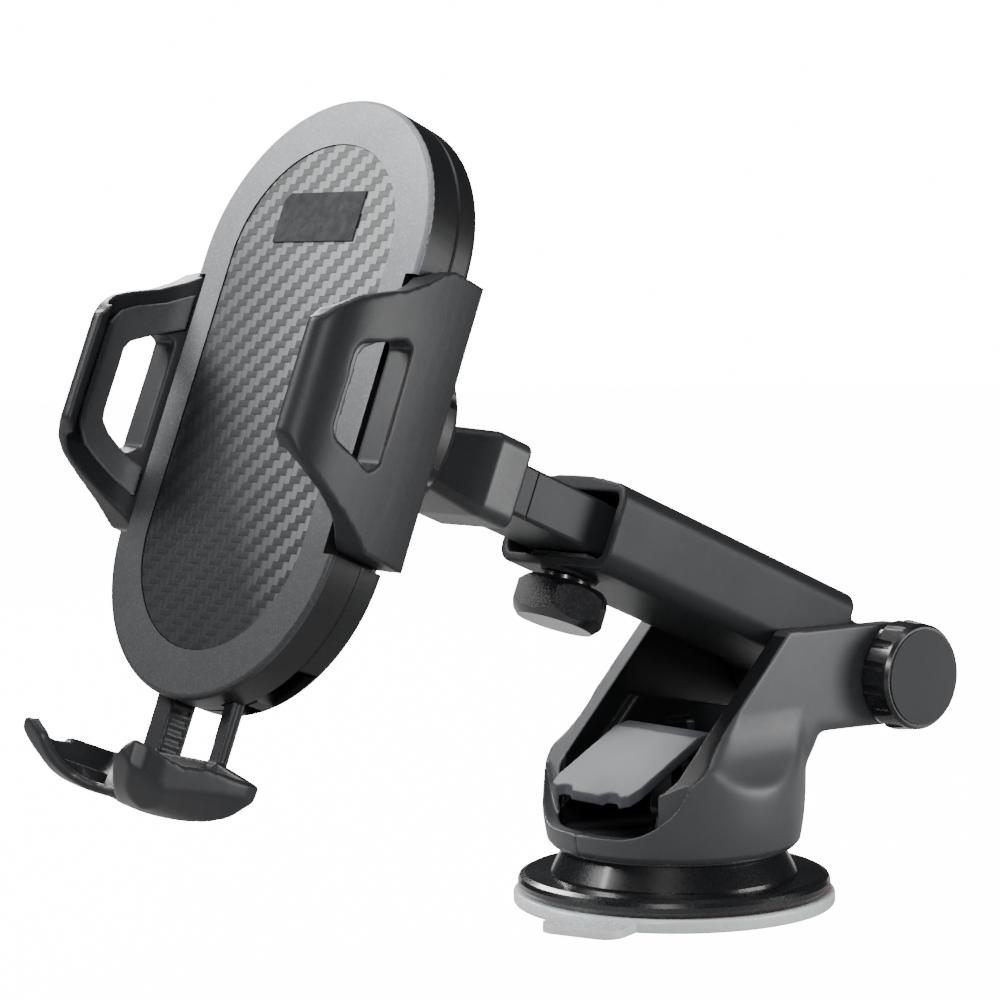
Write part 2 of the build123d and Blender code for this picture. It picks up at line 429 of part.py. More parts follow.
def boat(dz, k):
    p = [(x * k, -24, z + dz) for x, z in zb]
    return extrude(make_face([Spline(*p), Line(p[-1], p[0])]), 40, dir=(0, 1, 0))
tray = Pos(0, 0, -84) * Rot(0, tray_roll, 0) * Pos(0, 0, 84)
lip_top = poly([(-22, -73.4), (-14, -73.2), (-4, -72.6), (9, -72.4), (9, -95), (-22, -95)], "x", -30, 30)
half = [(22.8, 8.0), (23.8, 4.2), (23.5, 0), (22.7, -4.2), (21.7, -9.2), (20.8, -13.6), (19.4, -17.2), (17.4, -19.4), (14.4, -20.2), (12.2, -18.8), (10.0, -15.6), (7.2, -11.8), (3.6, -9.0)]
inner = [(21.6, 9), (21.6, -4), (19.6, -8), (18.4, -12), (17.4, -16), (15.6, -20), (14, -24)]
cav = (tray * (sect(fi) & boat(2.0, 0.93))) & poly(inner + [(-x, y) for x, y in reversed(inner)], "z", -95, -60)
ft = (tray * (sect(fo) & boat(0, 1.0))) - cav
ft = ft & lip_top
ft = ft & poly([(-a, b) for a, b in half] + [(0, -8.2)] + [(a, b) for a, b in reversed(half)], "z", -95, -60)
ft = ft - poly([(11, -70), (11, -72.5), (18, -74.0), (24.5, -75.6), (30, -77), (30, -70)], "y", -6, 12) - poly([(-11, -70), (-11, -72.5), (-18, -74.0), (-24.5, -75.6), (-30, -77), (-30, -70)], "y", -6, 12)
# outer side of each toe falls away to the rim of the tray
side_cut = [(-25, -70), (-25, -73.3), (-19.6, -73.6), (-16.3, -74.4), (-13.5, -75.4), (-10.0, -76.0), (-6.0, -75.4), (-6.0, -70)]
ft -= poly(side_cut, "x", 15.0, 30) + poly(side_cut, "x", -30, -15.0)
# rounded inner shoulder of each toe, swept along the edge of the lead gap
for m, dz in ((1, 0.0), (-1, 1.6)):
    sh = [(24.4, -70), (23.6, -73.2), (21.6, -73.9), (19.6, -75.2), (18.2, -76.8), (17.2, -78.6), (15.8, -79.8), (6, -79.8), (6, -70)]
    f = make_face(Polyline(*[(m * x, -24, z + (dz if z < -71 else 0)) for x, z in sh], close=True))
    ft -= extrude(f, 14 * sqrt(2), dir=(-m / sqrt(2), 1 / sqrt(2), 0))
# lower corners of the tray are drawn in
def corner(pts, dx, dy, dz):
    pl = Plane(origin=(0, 0, 0), x_dir=(dx / sqrt(2), dy / sqrt(2), 0), z_dir=(dy / sqrt(2), -dx / sqrt(2), 0))
    up = 1 if pl.y_dir.Z > 0 else -1
    sk = make_face(Polyline(*[(u, up * (z + dz)) for u, z in pts], close=True))
    return Location(pl) * extrude(sk, 40, both=True)
fc = [(27.4, -74.0), (26.4, -75.2), (25.3, -76.6), (23.6, -78.2), (21.6, -79.8), (18.9, -81.9), (14.9, -83.6), (12, -84.3), (12, -95), (45, -95), (45, -74)]
rc = [(23.2, -76.6), (21.9, -77.6), (20.9, -78.8), (19.8, -79.9), (17.8, -82.2), (15.3, -84.2), (12.6, -85.4), (12.6, -95), (45, -95), (45, -76.6)]
for pts, dx, dy, dz in ((fc, -1, -1, 0.0), (fc, 1, -1, -3.4), (rc, 1, 1, 0.0), (rc, -1, 1, 4.2)):
    ft -= corner(pts, dx, dy, dz)
ft = one(ft)
legL = box(-12.2, -7.3, 5.5, 11.8, -78.0, -22.5)
legL -= box(-7.9, -7.0, 5.0, 12.5, -74.0, -20) & box(-9, -7, 6.3, 11.0, -74, -20)
teeth = []
zz = -73.2
pts = [(-8.0, -73.6)]
while zz < -24.5:
    pts += [(-7.35, zz + 0.2), (-8.0, zz + 2.0)]
    zz += 2.0
pts += [(-8.6, zz), (-8.6, -73.6)]
legL += poly(pts, "y", 6.3, 11.0)
legR = box(8.5, 11.3, 5.5, 8.4, -78.0, -22.5)
legR -= box(11.0, 12, 6.3, 7.7, -74, -20)
ft = ft + legL + legR
ft += box(-12.2, -7.3, 5.0, 7.6, -78.0, -73.0) + box(8.5, 11.3, 5.0, 7.6, -78.0, -73.0)
save("foot", CR * one(ft))
fp = tray * (box(-16.5, -8.5, -9.5, -3.5, -83.0, -80.6) + box(8.5, 16.5, -9.5, -3.5, -83.0, -80.6))
fp = (fp & cav) - ft
fps = [s for s in fp.solids() if s.volume > 20]
save("foot_pads", [CR * s for s in fps])
print("nodes", len(os.listdir("parts")))
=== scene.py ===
import bpy, bmesh, math, json
import numpy as np
from mathutils import Vector, Matrix

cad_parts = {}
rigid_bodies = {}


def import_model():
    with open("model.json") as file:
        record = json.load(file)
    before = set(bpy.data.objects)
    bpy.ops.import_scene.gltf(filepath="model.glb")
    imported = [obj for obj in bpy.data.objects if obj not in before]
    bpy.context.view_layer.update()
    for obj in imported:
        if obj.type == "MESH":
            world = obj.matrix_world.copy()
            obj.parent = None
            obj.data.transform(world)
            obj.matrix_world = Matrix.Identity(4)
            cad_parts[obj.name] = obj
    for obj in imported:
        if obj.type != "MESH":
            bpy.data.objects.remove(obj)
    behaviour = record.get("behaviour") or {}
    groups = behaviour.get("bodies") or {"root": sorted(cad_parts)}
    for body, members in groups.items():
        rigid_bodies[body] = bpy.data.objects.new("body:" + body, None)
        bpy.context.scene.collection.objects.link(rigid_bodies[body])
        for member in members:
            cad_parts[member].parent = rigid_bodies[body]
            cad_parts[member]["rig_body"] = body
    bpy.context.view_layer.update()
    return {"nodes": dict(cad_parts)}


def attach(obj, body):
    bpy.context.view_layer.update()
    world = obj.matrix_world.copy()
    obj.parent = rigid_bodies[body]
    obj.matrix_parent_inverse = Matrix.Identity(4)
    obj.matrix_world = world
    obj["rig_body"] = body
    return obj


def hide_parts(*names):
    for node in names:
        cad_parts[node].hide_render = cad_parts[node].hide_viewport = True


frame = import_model()
nodes = frame["nodes"]

# ------------------------------------------------------------------ frames of the cradle and the arm
PAN, TILT, ROLL = math.radians(5.97), math.radians(21.64), math.radians(1.27)
RM = Matrix.Rotation(PAN, 3, "Z") @ Matrix.Rotation(-TILT, 3, "X") @ Matrix.Rotation(ROLL, 3, "Y")
T = math.radians(22.5)
HINGE = Vector((0, .0463, .0492))
AD, AN = Vector((0, -math.cos(T), math.sin(T))), Vector((0, math.sin(T), math.cos(T)))
BALL = HINGE + AD * .13967 + AN * .0047
CRO = BALL - RM.col[1] * .0304 - RM.col[2] * .0020
CR4 = Matrix.Translation(CRO) @ RM.to_4x4()
CRI = CR4.inverted()
AM = Matrix((( 1, 0, 0), (0, -AD.y, AN.y), (0, -AD.z, AN.z)))
AR4 = Matrix.Translation(HINGE) @ AM.to_4x4()
ARI = AR4.inverted()

# ------------------------------------------------------------------ materials
class NT:
    """A small helper for node trees."""
    def __init__(s, m):
        m.use_nodes = True
        s.t = m.node_tree; s.t.nodes.clear()
        s.out = s.t.nodes.new("ShaderNodeOutputMaterial"); s.out.location = (900, 0)
        s.b = s.t.nodes.new("ShaderNodeBsdfPrincipled"); s.b.location = (600, 0)
        s.t.links.new(s.b.outputs[0], s.out.inputs[0])
    def n(s, kind, **kw):
        x = s.t.nodes.new("ShaderNode" + kind)
        for k, v in kw.items(): setattr(x, k, v)
        return x
    def l(s, a, b): s.t.links.new(a, b)
    def put(s, sock, v):
        if hasattr(v, "is_output"): s.l(v, sock)
        else: sock.default_value = v
    def math(s, op, a, b=0.0, c=0.0, clamp=False):
        x = s.n("Math", operation=op, use_clamp=clamp)
        for i, v in enumerate((a, b, c)): s.put(x.inputs[i], v)
        return x.outputs[0]
    def mapr(s, v, a, b, c, d):
        x = s.n("MapRange"); x.clamp = True
        s.put(x.inputs[0], v)
        for i, q in enumerate((a, b, c, d)): x.inputs[i + 1].default_value = q
        return x.outputs[0]
    def mix(s, f, a, b, mode="MIX"):
        x = s.n("Mix", data_type="RGBA", blend_type=mode)
        s.put(x.inputs[0], f); s.put(x.inputs[6], a); s.put(x.inputs[7], b)
        return x.outputs[2]
    def coord(s): return s.n("TexCoord").outputs["Object"]
    def noise(s, scale, detail=2.0, rough=0.5, vec=None, stretch=None):
        x = s.n("TexNoise"); x.inputs["Scale"].default_value = scale
        x.inputs["Detail"].default_value = detail; x.inputs["Roughness"].default_value = rough
        v = vec if vec is not None else s.coord()
        if stretch:
            mp = s.n("Mapping"); mp.inputs["Scale"].default_value = stretch
            s.l(v, mp.inputs[0]); v = mp.outputs[0]
        s.l(v, x.inputs["Vector"])
        return x.outputs["Fac"]
    def attr(s, name): return s.n("Attribute", attribute_name=name).outputs["Fac"]
    def bump(s, h, dist, strength=1.0, normal=None):
        x = s.n("Bump"); x.inputs["Strength"].default_value = strength; x.inputs["Distance"].default_value = dist
        s.l(h, x.inputs["Height"])
        if normal is not None: s.l(normal, x.inputs["Normal"])
        return x.outputs[0]

def col(v, k=1.0):
    return tuple(min(1.0, c * k) for c in v) + (1.0,)

def surface(name, base, rough=0.45, grain=0.30, gh=6.0e-6, mottle=0.06, metallic=0.0, spec=0.5, coat=0.0, coat_r=0.15,
            edge=0.35, sparkle=0.0, smudge=0.05, brush=None, shade_gradient=None, sub=0.0):
    """Moulded or painted skin: fine grain in millimetres, soft mottling, worn lighter edges and uneven gloss."""
    m = bpy.data.materials.new(name); t = NT(m); b = t.b
    fine = t.noise(1000.0 / grain, 2.0, 0.6, stretch=brush)
    mid = t.noise(140.0, 3.0, 0.55)
    big = t.noise(28.0, 2.0, 0.5)
    wear = t.attr("edge")
    scr = t.noise(520.0, 4.0, 0.7)
    c = t.mix(t.mapr(mid, 0.3, 0.7, 0.0, 1.0), col(base, 1.0 - mottle), col(base, 1.0 + mottle))
    c = t.mix(t.mapr(fine, 0.35, 0.65, 0.0, 0.5), c, col(base, 1.0 + mottle * 2.5))
    if sparkle:
        vo = t.n("TexVoronoi"); vo.inputs["Scale"].default_value = 3200.0
        t.l(t.coord(), vo.inputs["Vector"])
        fl = t.mapr(vo.outputs["Color"], 0.62, 0.98, 0.0, sparkle)
        c = t.mix(fl, c, col(base, 2.6))
    # optional painted light and shade: a gradient multiplies the colour
    if shade_gradient is not None:
        c = shade_gradient(t, c)
    worn = t.math("MULTIPLY", wear, t.mapr(scr, 0.38, 0.66, 0.25, 1.0), clamp=True)
    c = t.mix(t.math("MULTIPLY", worn, edge), c, col(tuple(min(1, v * 1.9 + 0.05) for v in base)))
    t.l(c, b.inputs["Base Color"])
    r = t.math("ADD", t.mapr(big, 0.3, 0.7, rough - smudge, rough + smudge), t.mapr(fine, 0.3, 0.7, -0.04, 0.04))
    r = t.math("SUBTRACT", r, t.math("MULTIPLY", worn, 0.10), clamp=True)
    t.l(r, b.inputs["Roughness"])
    b.inputs["Metallic"].default_value = metallic
    b.inputs["Specular IOR Level"].default_value = spec
    if coat:
        b.inputs["Coat Weight"].default_value = coat; b.inputs["Coat Roughness"].default_value = coat_r
    if sub:
        b.inputs["Subsurface Weight"].default_value = sub; b.inputs["Subsurface Scale"].default_value = 0.004
    if gh > 1.5e-6:
        nrm = t.bump(fine, gh, 0.8)
        nrm = t.bump(t.mapr(mid, 0.2, 0.8, 0.0, 1.0), 1.0e-5, 0.5, nrm)
        t.l(nrm, b.inputs["Normal"])
    return m

def uv_xy(t):
    u = t.n("UVMap", uv_map="local"); sp = t.n("SeparateXYZ"); t.l(u.outputs[0], sp.inputs[0])
    return t.math("MULTIPLY", sp.outputs[0], 100.0), t.math("MULTIPLY", sp.outputs[1], 100.0)

def painted_light_gradient(top, bottom, z0=-50.0, z1=58.0, side=0.0):
    """Painted light and shade: the colour is multiplied darker towards the lower end of the cradle and brighter towards
    the upper end, standing in for the reflection gradient on its front face.
    """
    def f(t, c):
        x, z = uv_xy(t)
        q = t.math("ADD", z, t.math("MULTIPLY", x, side))
        w = t.mapr(q, z0, z1, bottom, top)
        cb = t.n("CombineColor"); [t.l(w, cb.inputs[i]) for i in range(3)]
        return t.mix(1.0, c, cb.outputs[0], "MULTIPLY")
    return f

def carbon():
    m = bpy.data.materials.new("carbon_weave"); t = NT(m); b = t.b
    x, z = uv_xy(t)
    s = 1.55
    a = math.radians(2.0)
    u = t.math("DIVIDE", t.math("ADD", t.math("MULTIPLY", x, math.cos(a)), t.math("MULTIPLY", z, math.sin(a))), s)
    v = t.math("DIVIDE", t.math("SUBTRACT", t.math("MULTIPLY", z, math.cos(a)), t.math("MULTIPLY", x, math.sin(a))), s)
    i, j = t.math("FLOOR", u), t.math("FLOOR", v)
    k = t.math("FLOORED_MODULO", t.math("SUBTRACT", j, i), 4.0)
    over = t.math("LESS_THAN", k, 1.5)
    fu, fv = t.math("FRACT", u), t.math("FRACT", v)
    cu = t.math("SUBTRACT", 1.0, t.math("POWER", t.math("ABSOLUTE", t.math("SUBTRACT", t.math("MULTIPLY", fu, 2.0), 1.0)), 2.6))
    cv = t.math("SUBTRACT", 1.0, t.math("POWER", t.math("ABSOLUTE", t.math("SUBTRACT", t.math("MULTIPLY", fv, 2.0), 1.0)), 2.6))
    # run position along a tow that floats over two cells
    hw = t.mix(over, t.math("MULTIPLY", cv, 0.55), cu)
    fib = t.noise(5200.0, 2.0, 0.5, stretch=(1, 1, 0.12))
    # painted reflection: over cells are coloured brighter than under cells and each tow is shaded across its width by
    # hw, standing in for the weave's sheen; fib adds real fibre streaks
    lit = t.mapr(over, 0.0, 1.0, 0.0, 1.0)
    weave_sheen_and_fibre = t.math("ADD", t.math("MULTIPLY", lit, 0.78), t.math("MULTIPLY", t.math("MULTIPLY", hw, 0.22), 1.0))
    weave_sheen_and_fibre = t.math("MULTIPLY", weave_sheen_and_fibre, t.mapr(fib, 0.3, 0.7, 0.86, 1.06), clamp=True)
    # painted shade and light: the weave's colour darkens towards the lower left and brightens towards the top, standing
    # in for a reflection gradient
    q = t.math("ADD", z, t.math("MULTIPLY", x, 1.35))
    up = t.mapr(q, -26.0, 46.0, 0.0, 1.0)
    weave_in_painted_shade = t.mix(weave_sheen_and_fibre, (0.0135, 0.0140, 0.0155, 1), (0.020, 0.021, 0.023, 1))
    weave_in_painted_light = t.mix(weave_sheen_and_fibre, (0.018, 0.019, 0.021, 1), (0.37, 0.38, 0.395, 1))
    c = t.mix(up, weave_in_painted_shade, weave_in_painted_light)
    t.l(c, b.inputs["Base Color"])
    t.l(t.mapr(t.noise(30.0), 0.3, 0.7, 0.34, 0.44), b.inputs["Roughness"])
    b.inputs["Specular IOR Level"].default_value = 0.24
    b.inputs["Coat Weight"].default_value = 0.05; b.inputs["Coat Roughness"].default_value = 0.16
    nrm = t.bump(hw, 4.0e-5, 0.6)
    nrm = t.bump(fib, 5e-6, 0.5, nrm)
    t.l(nrm, b.inputs["Normal"])
    return m

M = {}
M["housing"] = surface("housing_grey", (0.062, 0.064, 0.069), 0.40, 0.5, 4e-6, 0.05, spec=0.42)
M["arm"] = surface("arm_grey", (0.026, 0.027, 0.0295), 0.40, 0.5, 3e-6, 0.05, spec=0.20)
# painted light and shade on the front face: colour brighter at its upper end, darker at its lower end
M["bezel"] = surface("bezel_grey", (0.100, 0.103, 0.109), 0.44, 0.22, 7e-6, 0.08, metallic=0.10, spec=0.32, sparkle=0.40, shade_gradient=painted_light_gradient(3.1, 0.45, -30.0, 62.0))
M["cradle"] = surface("cradle_grey", (0.0135, 0.0138, 0.0150), 0.40, 0.3, 3e-6, 0.06, spec=0.32)
M["wing"] = surface("wing_grey", (0.0245, 0.0253, 0.0278), 0.38, 0.26, 8e-6, 0.08, sparkle=0.14, spec=0.24)
M["foot"] = surface("foot_grey", (0.024, 0.0247, 0.0268), 0.40, 0.3, 3e-6, 0.06, spec=0.32)
M["head"] = surface("head_grey", (0.033, 0.034, 0.037), 0.38, 0.35, 2e-6, 0.06, spec=0.40)
M["gloss"] = surface("gloss_black", (0.0085, 0.009, 0.0105), 0.26, 0.8, 1.2e-6, 0.10, spec=0.6, coat=0.5, coat_r=0.10, smudge=0.07)
M["pad"] = surface("pad_black", (0.080, 0.0825, 0.088), 0.34, 0.6, 1.0e-6, 0.10, spec=0.55, smudge=0.07)
# black finish of hidden inner parts, also used as painted shade inside the housing
M["inner"] = surface("inner_black", (0.010, 0.0105, 0.012), 0.40, 0.5, 4e-6, 0.08)
M["lever"] = surface("lever_grey", (0.060, 0.064, 0.073), 0.46, 0.5, 3e-6, 0.10, metallic=0.0, spec=0.16)
M["cap"] = surface("knob_cap_grey", (0.040, 0.0413, 0.0445), 0.58, 0.25, 1e-6, 0.03, spec=0.26)
M["badge"] = surface("badge_grey", (0.030, 0.031, 0.034), 0.66, 0.22, 1e-6, 0.0, metallic=0.0, spec=0.12, smudge=0.02)
M["acetal"] = surface("acetal", (0.72, 0.71, 0.66), 0.45, 0.5, 3e-6, 0.04, sub=0.2)
M["steel"] = surface("steel", (0.56, 0.56, 0.57), 0.30, 0.12, 4e-6, 0.05, metallic=1.0, brush=(1, 1, 0.1))
M["gel"] = surface("gel", (0.83, 0.835, 0.85), 0.28, 1.2, 6e-6, 0.03, spec=0.5, edge=0.1, sub=0.6, coat=0.4, coat_r=0.2)
M["carbon"] = carbon()

LOOK = {
 "gel_pad": "gel", "suction_disc": "gloss", "pressure_ring": "gloss", "housing_left": "housing", "housing_right": "housing",
 "housing_screws": "steel", "hinge_bolt": "steel", "hinge_washers": "steel", "hinge_knob": "gloss", "knob_cap": "cap", "knob_nut": "steel",
 "lever": "lever", "lever_pin": "steel", "stem": "inner", "arm_sleeve": "arm", "thumb_knob": "gloss", "thumb_stud": "steel", "thumb_nut": "steel",
 "brake_shoe": "pad", "inner_bar": "arm", "guide_block": "acetal", "arm_head": "head", "ball_stud": "inner", "ball_cup_inner": "acetal",
 "ball_cup_outer": "acetal", "collar_nut": "inner", "rear_shell": "cradle", "front_bezel": "bezel", "carbon_insert": "carbon",
 "blank_badge": "badge", "case_screws": "steel", "pinion": "acetal", "wing_left": "wing", "wing_right": "wing", "wing_pad_left": "pad",
 "wing_pad_right": "pad", "release_button": "inner", "foot": "foot", "foot_pads": "inner"}
CRADLE = {"rear_shell", "front_bezel", "carbon_insert", "blank_badge", "case_screws", "wing_left", "wing_right", "wing_pad_left",
          "wing_pad_right", "release_button", "foot", "foot_pads", "collar_nut", "pinion"}

# ------------------------------------------------------------------ mesh work
def local_uv(me, inv):
    uv = me.uv_layers.get("local") or me.uv_layers.new(name="local")
    co = np.empty(len(me.vertices) * 3, np.float64); me.vertices.foreach_get("co", co); co = co.reshape(-1, 3)
    A = np.array(inv)
    q = co @ A[:3, :3].T + A[:3, 3]
    li = np.empty(len(me.loops), np.int32); me.loops.foreach_get("vertex_index", li)
    uvs = (q[:, [0, 2]] * 10.0)[li]
    uv.data.foreach_set("uv", uvs.astype(np.float32).ravel())

def edge_attr(me, verts):
    a = me.attributes.get("edge") or me.attributes.new("edge", "FLOAT", "POINT")
    w = np.zeros(len(me.vertices), np.float32)
    if len(verts): w[np.array(sorted(verts))] = 1.0
    a.data.foreach_set("value", w)

def keep(node):
    """A copy of a CAD node's skin with its own smooth normals, given UVs and a finish."""
    src = nodes[node]
    me = src.data.copy(); me.name = node + "_skin"; me.materials.clear()
    ob = bpy.data.objects.new(node + "_skin", me)
    bpy.context.scene.collection.objects.link(ob)
    local_uv(me, CRI if node in CRADLE else ARI)
    me.materials.append(M[LOOK[node]])
    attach(ob, src["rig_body"]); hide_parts(node)
    return ob

def refine(node, width=0.30, seg=2, ang=34.0, sharp=50.0, minlen=0.0):
    """A copy of a CAD node's skin with its hard edges rolled over by width (mm), ready for close views."""
    src = nodes[node]
    me = src.data.copy(); me.name = node + "_skin"; me.materials.clear()
    bm = bmesh.new(); bm.from_mesh(me)
    bmesh.ops.remove_doubles(bm, verts=bm.verts, dist=2e-6)
    bmesh.ops.dissolve_limit(bm, angle_limit=math.radians(0.6), verts=bm.verts, edges=bm.edges, use_dissolve_boundaries=False)
    bm.normal_update()
    w = width / 1000.0
    A = math.radians(ang)
    es = [e for e in bm.edges if len(e.link_faces) == 2 and e.calc_face_angle(0) > A and e.calc_length() > minlen / 1000.0]
    if es and width > 0:
        r = bmesh.ops.bevel(bm, geom=es, offset=w, offset_type="OFFSET", segments=seg, profile=0.5, affect="EDGES", clamp_overlap=True, loop_slide=True, miter_outer="ARC", miter_inner="ARC")
        marked = set(v for f in r["faces"] for v in f.verts)
    else:
        marked = set()
    bmesh.ops.triangulate(bm, faces=[f for f in bm.faces if len(f.verts) > 4])
    bm.verts.index_update()
    idx = [v.index for v in marked if v.is_valid]
    for f in bm.faces: f.smooth = True
    bm.to_mesh(me); bm.free()
    edge_attr(me, idx)
    me.set_sharp_from_angle(angle=math.radians(sharp))
    ob = bpy.data.objects.new(node + "_skin", me)
    bpy.context.scene.collection.objects.link(ob)
    local_uv(me, CRI if node in CRADLE else ARI)
    md = ob.modifiers.new("wn", "WEIGHTED_NORMAL"); md.keep_sharp = True; md.mode = "FACE_AREA"
    me.materials.append(M[LOOK[node]])
    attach(ob, src["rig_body"]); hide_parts(node)
    return ob

def blend_skin(ob, fn, voxel=0.35, iters=14, factor=0.5):
    """Rebuilds a skin as an even mesh and relaxes the part chosen by fn(x, y, z) -> 0..1, so that its forms flow into each other."""
    inv = CRI if ob.name[:-5] in CRADLE else None
    for md in list(ob.modifiers): ob.modifiers.remove(md)
    m = ob.modifiers.new("rm", "REMESH"); m.mode = "VOXEL"; m.voxel_size = voxel / 1000.0; m.adaptivity = 0.0
    dg = bpy.context.evaluated_depsgraph_get(); dg.update()
    new = bpy.data.meshes.new_from_object(ob.evaluated_get(dg))
    ob.modifiers.remove(m)
    old = ob.data; ob.data = new
    co = np.empty(len(new.vertices) * 3); new.vertices.foreach_get("co", co); co = co.reshape(-1, 3)
    A = np.array(inv) if inv is not None else np.eye(4)
    q = (co @ A[:3, :3].T + A[:3, 3]) * 1000.0
    W = np.clip(fn(q[:, 0], q[:, 1], q[:, 2]), 0, 1)
    ne = len(new.edges); ed = np.empty(ne * 2, np.int64); new.edges.foreach_get("vertices", ed); ed = ed.reshape(-1, 2)
    deg = np.bincount(ed.ravel(), minlength=len(co)).astype(float)
    base = np.maximum(W, 0.0)
    few = np.clip(W + 0.0, 0, 1)
    for k in range(iters):
        for sgn in ((factor, -factor * 1.02) if k % 2 else (factor,)):
            i2, j2 = np.r_[ed[:, 0], ed[:, 1]], np.r_[ed[:, 1], ed[:, 0]]
            acc = np.stack([np.bincount(i2, co[j2, a_], len(co)) for a_ in range(3)], 1)
            lap = acc / deg[:, None] - co
            co = co + lap * (sgn * (few if k >= 2 else np.maximum(few, 0.6)))[:, None]
    new.vertices.foreach_set("co", co.ravel()); new.update()
    for p in new.polygons: p.use_smooth = True
    new.materials.clear(); new.materials.append(M[LOOK[ob.name[:-5]]])
    edge_attr(new, [])
    local_uv(new, CRI if ob.name[:-5] in CRADLE else ARI)
    return ob

WIDTH = {"housing_left": 0.35, "housing_right": 0.35, "arm_sleeve": 0.35, "wing_left": 0.35, "wing_right": 0.35, "lever": 0.30,
         "thumb_knob": 0.35, "hinge_knob": 0.30, "knob_cap": 0.35, "arm_head": 0.5, "inner_bar": 0.4, "rear_shell": 0.35, "front_bezel": 0.25,
         "foot": 0.35, "gel_pad": 0.4, "suction_disc": 0.35, "pressure_ring": 0.3, "wing_pad_left": 0.55, "wing_pad_right": 0.55, "collar_nut": 0.5}
skins = {}
KEEP = {"front_bezel", "rear_shell", "suction_disc", "pressure_ring", "gel_pad", "carbon_insert", "hinge_knob", "knob_cap", "thumb_knob",
        "collar_nut", "ball_cup_inner", "ball_cup_outer", "ball_stud", "stem", "hinge_bolt", "lever_pin", "thumb_stud", "hinge_washers", "inner_bar"}
SOFT = {"foot", "housing_left", "housing_right", "wing_left", "wing_right", "wing_pad_left", "wing_pad_right", "arm_sleeve", "arm_head", "lever"}
for n in nodes:
    skins[n] = keep(n) if n in KEEP else refine(n, 0.0 if n in SOFT else WIDTH.get(n, 0.15))

def smooth01(v, a, b):
    t_ = np.clip((v - a) / (b - a), 0, 1); return t_ * t_ * (3 - 2 * t_)

# the foot's two toes are one flowing form, its legs stay crisp
blend_skin(skins["foot"], lambda x, y, z: 1.0 - smooth01(z, -74.5, -72.0), 0.30, 22)
# the cheeks run into the round body without an edge
for n in ("housing_left", "housing_right"):
    blend_skin(skins[n], lambda x, y, z: smooth01(np.abs(x), 20.5, 23.0) * smooth01(z, 19, 24) * (1 - smooth01(z, 38, 46)) * smooth01(y, -16, -9), 0.38, 150)
    h_ = skins[n].data
    h_.materials.append(M["inner"])
    # painted shade: faces inside the housing's mouth take the black finish, as does the raked band of the right wall,
    # standing in for shade where the light does not reach
    for p in h_.polygons:
        c = p.center * 1000.0
        inside = abs(c.x) < 19.9 and c.z > 16.6 and (math.hypot(c.x, c.y) < 25.9 or c.y > 12) and c.y < 57
        if inside and not (c.y < -15 and abs(c.x) > 16.8): p.material_index = 1
        elif n == "housing_right" and p.normal.y * -0.718 + p.normal.z * 0.695 > 0.93 and c.z > 24 and c.y < 12: p.material_index = 1
def add_block(ob, lo, hi, slot):
    """Joins a small block (mm) to a skin."""
    bm = bmesh.new(); bm.from_mesh(ob.data)
    vs = [bm.verts.new((x / 1000.0, y / 1000.0, z / 1000.0)) for x in (lo[0], hi[0]) for y in (lo[1], hi[1]) for z in (lo[2], hi[2])]
    for q in ((0, 1, 3, 2), (4, 6, 7, 5), (0, 4, 5, 1), (2, 3, 7, 6), (0, 2, 6, 4), (1, 5, 7, 3)):
        f = bm.faces.new([vs[i] for i in q]); f.material_index = slot
    bm.to_mesh(ob.data); bm.free()
# painted shade: black blocks close the rear of each housing's mouth, standing in for the dark interior
add_block(skins["housing_left"], (-19.6, 20.4, 30.0), (-0.05, 22.2, 41.2), 1)
add_block(skins["housing_right"], (0.05, 20.4, 30.0), (19.6, 22.2, 41.2), 1)

def groove(n, y0, sgn):
    """A fine V groove where the two shells of the cradle meet."""
    me = skins[n].data
    bm = bmesh.new(); bm.from_mesh(me)
    o = CR4 @ Vector((0, (y0 - sgn * 0.4) / 1000.0, 0)); nn = RM.col[1]
    bmesh.ops.bisect_plane(bm, geom=bm.verts[:] + bm.edges[:] + bm.faces[:], plane_co=o, plane_no=nn, dist=1e-6)
    for v in bm.verts:
        p = (CRI @ v.co) * 1000.0
        if abs(p.y - y0) < 0.04:
            zc = max(-29.4, min(29.4, p.z)); r = math.hypot(p.x, p.z - zc)
            if r > 32.9:
                q = Vector((p.x * (r - 0.38) / r, p.y, zc + (p.z - zc) * (r - 0.38) / r)) / 1000.0
                v.co = CR4 @ q
    for f in bm.faces: f.smooth = True
    bm.to_mesh(me); bm.free()
    if "custom_normal" in me.attributes: me.attributes.remove(me.attributes["custom_normal"])
    me.set_sharp_from_angle(angle=math.radians(24))
groove("front_bezel", 8.0, 1.0)
groove("rear_shell", 8.0, -1.0)

for n in ("wing_left", "wing_right"):
    blend_skin(skins[n], lambda x, y, z: 0.22 + 0.78 * (1 - smooth01(y, -14.0, -6.0)), 0.32, 36)
for n in ("wing_pad_left", "wing_pad_right"):
    blend_skin(skins[n], lambda x, y, z: np.ones_like(x), 0.20, 12)
for n, v in (("arm_sleeve", 0.36), ("arm_head", 0.34), ("lever", 0.30)):
    blend_skin(skins[n], lambda x, y, z: 0.45 + 0 * x, v, 14)

# front face of the cradle is grained and light, its side wall is plain and dark
b_ = skins["front_bezel"].data
b_.materials.append(M["cradle"])
ey = RM.col[1]
for p in b_.polygons:
    if p.normal.dot(ey) > -0.15: p.material_index = 1

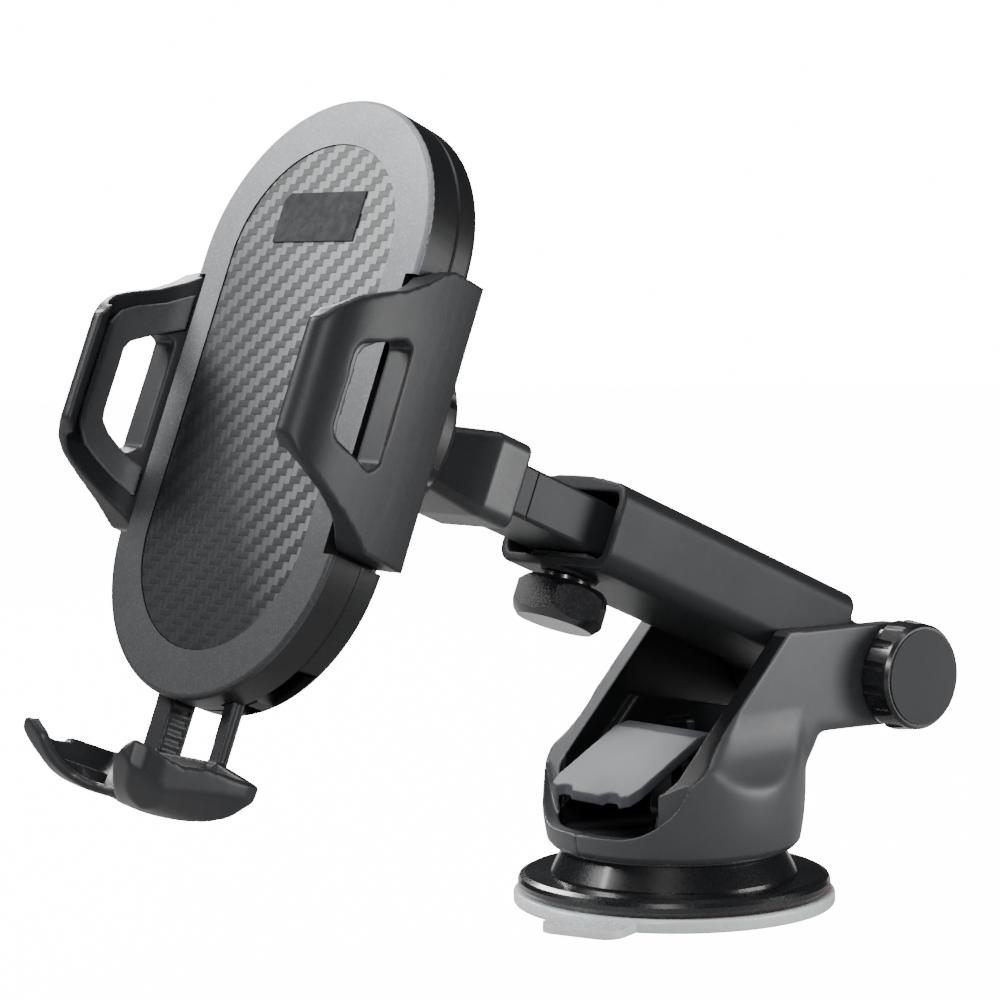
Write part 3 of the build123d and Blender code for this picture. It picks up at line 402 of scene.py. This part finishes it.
# ------------------------------------------------------------------ studio
sc = bpy.context.scene
w = bpy.data.worlds.new("studio"); sc.world = w; w.use_nodes = True
wt = w.node_tree; wt.nodes.clear()
bg = wt.nodes.new("ShaderNodeBackground"); bg2 = wt.nodes.new("ShaderNodeBackground"); mx = wt.nodes.new("ShaderNodeMixShader")
lp = wt.nodes.new("ShaderNodeLightPath"); wo = wt.nodes.new("ShaderNodeOutputWorld")
bg.inputs[0].default_value = (0.93, 0.96, 1.0, 1); bg.inputs[1].default_value = 0.04
bg2.inputs[0].default_value = (1, 1, 1, 1); bg2.inputs[1].default_value = 16.0
wt.links.new(lp.outputs["Is Camera Ray"], mx.inputs[0]); wt.links.new(bg.outputs[0], mx.inputs[1]); wt.links.new(bg2.outputs[0], mx.inputs[2])
wt.links.new(mx.outputs[0], wo.inputs[0])

me = bpy.data.meshes.new("floor"); S = 4.0
me.from_pydata([(-S, -S, -0.0002), (S, -S, -0.0002), (S, S, -0.0002), (-S, S, -0.0002)], [], [(0, 1, 2, 3)])
floor = bpy.data.objects.new("floor", me); sc.collection.objects.link(floor)
fm = bpy.data.materials.new("floor"); fm.use_nodes = True
fb = fm.node_tree.nodes["Principled BSDF"]
fb.inputs["Base Color"].default_value = (0.50, 0.50, 0.50, 1); fb.inputs["Roughness"].default_value = 0.9
ft = fm.node_tree; fo = [n for n in ft.nodes if n.type == "OUTPUT_MATERIAL"][0]
fe = ft.nodes.new("ShaderNodeEmission"); fe.inputs[1].default_value = 15.0
fa = ft.nodes.new("ShaderNodeAddShader"); fl2 = ft.nodes.new("ShaderNodeLightPath"); fx = ft.nodes.new("ShaderNodeMixShader")
ft.links.new(fb.outputs[0], fa.inputs[0]); ft.links.new(fe.outputs[0], fa.inputs[1])
ft.links.new(fl2.outputs["Is Camera Ray"], fx.inputs[0]); ft.links.new(fb.outputs[0], fx.inputs[1]); ft.links.new(fa.outputs[0], fx.inputs[2])
ft.links.new(fx.outputs[0], fo.inputs[0])
me.materials.append(fm)

def area(name, loc, target, size, power, color=(1, 1, 1), size_y=None):
    d = bpy.data.lights.new(name, "AREA"); d.energy = power; d.color = color; d.shape = "RECTANGLE"
    d.size = size; d.size_y = size_y or size
    o = bpy.data.objects.new(name, d); sc.collection.objects.link(o)
    o.location = loc
    o.rotation_mode = "QUATERNION"
    o.rotation_quaternion = (Vector(target) - Vector(loc)).to_track_quat("-Z", "Y")
    return o
TG = (0, -0.04, 0.09)
area("key_right", (0.85, 0.58, 0.12), TG, 0.55, 8.0, size_y=0.34)
area("front_left", (-0.50, -0.62, 0.78), TG, 0.45, 11.0)
area("left_up", (-0.78, 0.22, 0.62), TG, 0.30, 5.5)
area("top", (0.05, -0.05, 1.1), TG, 0.5, 4.0)
area("front_right", (0.62, -0.72, 0.46), (0, -0.11, 0.12), 0.10, 3.6)

# ------------------------------------------------------------------ camera at the photograph's angle
az, el, roll = math.radians(51.24), math.radians(3.55), math.radians(-0.60)
back = Vector((math.sin(az) * math.cos(el), -math.cos(az) * math.cos(el), math.sin(el)))
right = Vector((math.cos(az), math.sin(az), 0.0))
up = right.cross(-back)
r2 = right * math.cos(roll) + up * math.sin(roll)
u2 = -right * math.sin(roll) + up * math.cos(roll)
cd = bpy.data.cameras.new("camera"); cam = bpy.data.objects.new("camera", cd); sc.collection.objects.link(cam)
cd.sensor_width = 36.0; cd.lens = 98.97; cd.clip_start = 0.01; cd.clip_end = 20
mw = Matrix((( r2.x, u2.x, back.x, .452152), (r2.y, u2.y, back.y, -.411859), (r2.z, u2.z, back.z, .128139), (0, 0, 0, 1)))
cam.matrix_world = mw
sc.camera = cam
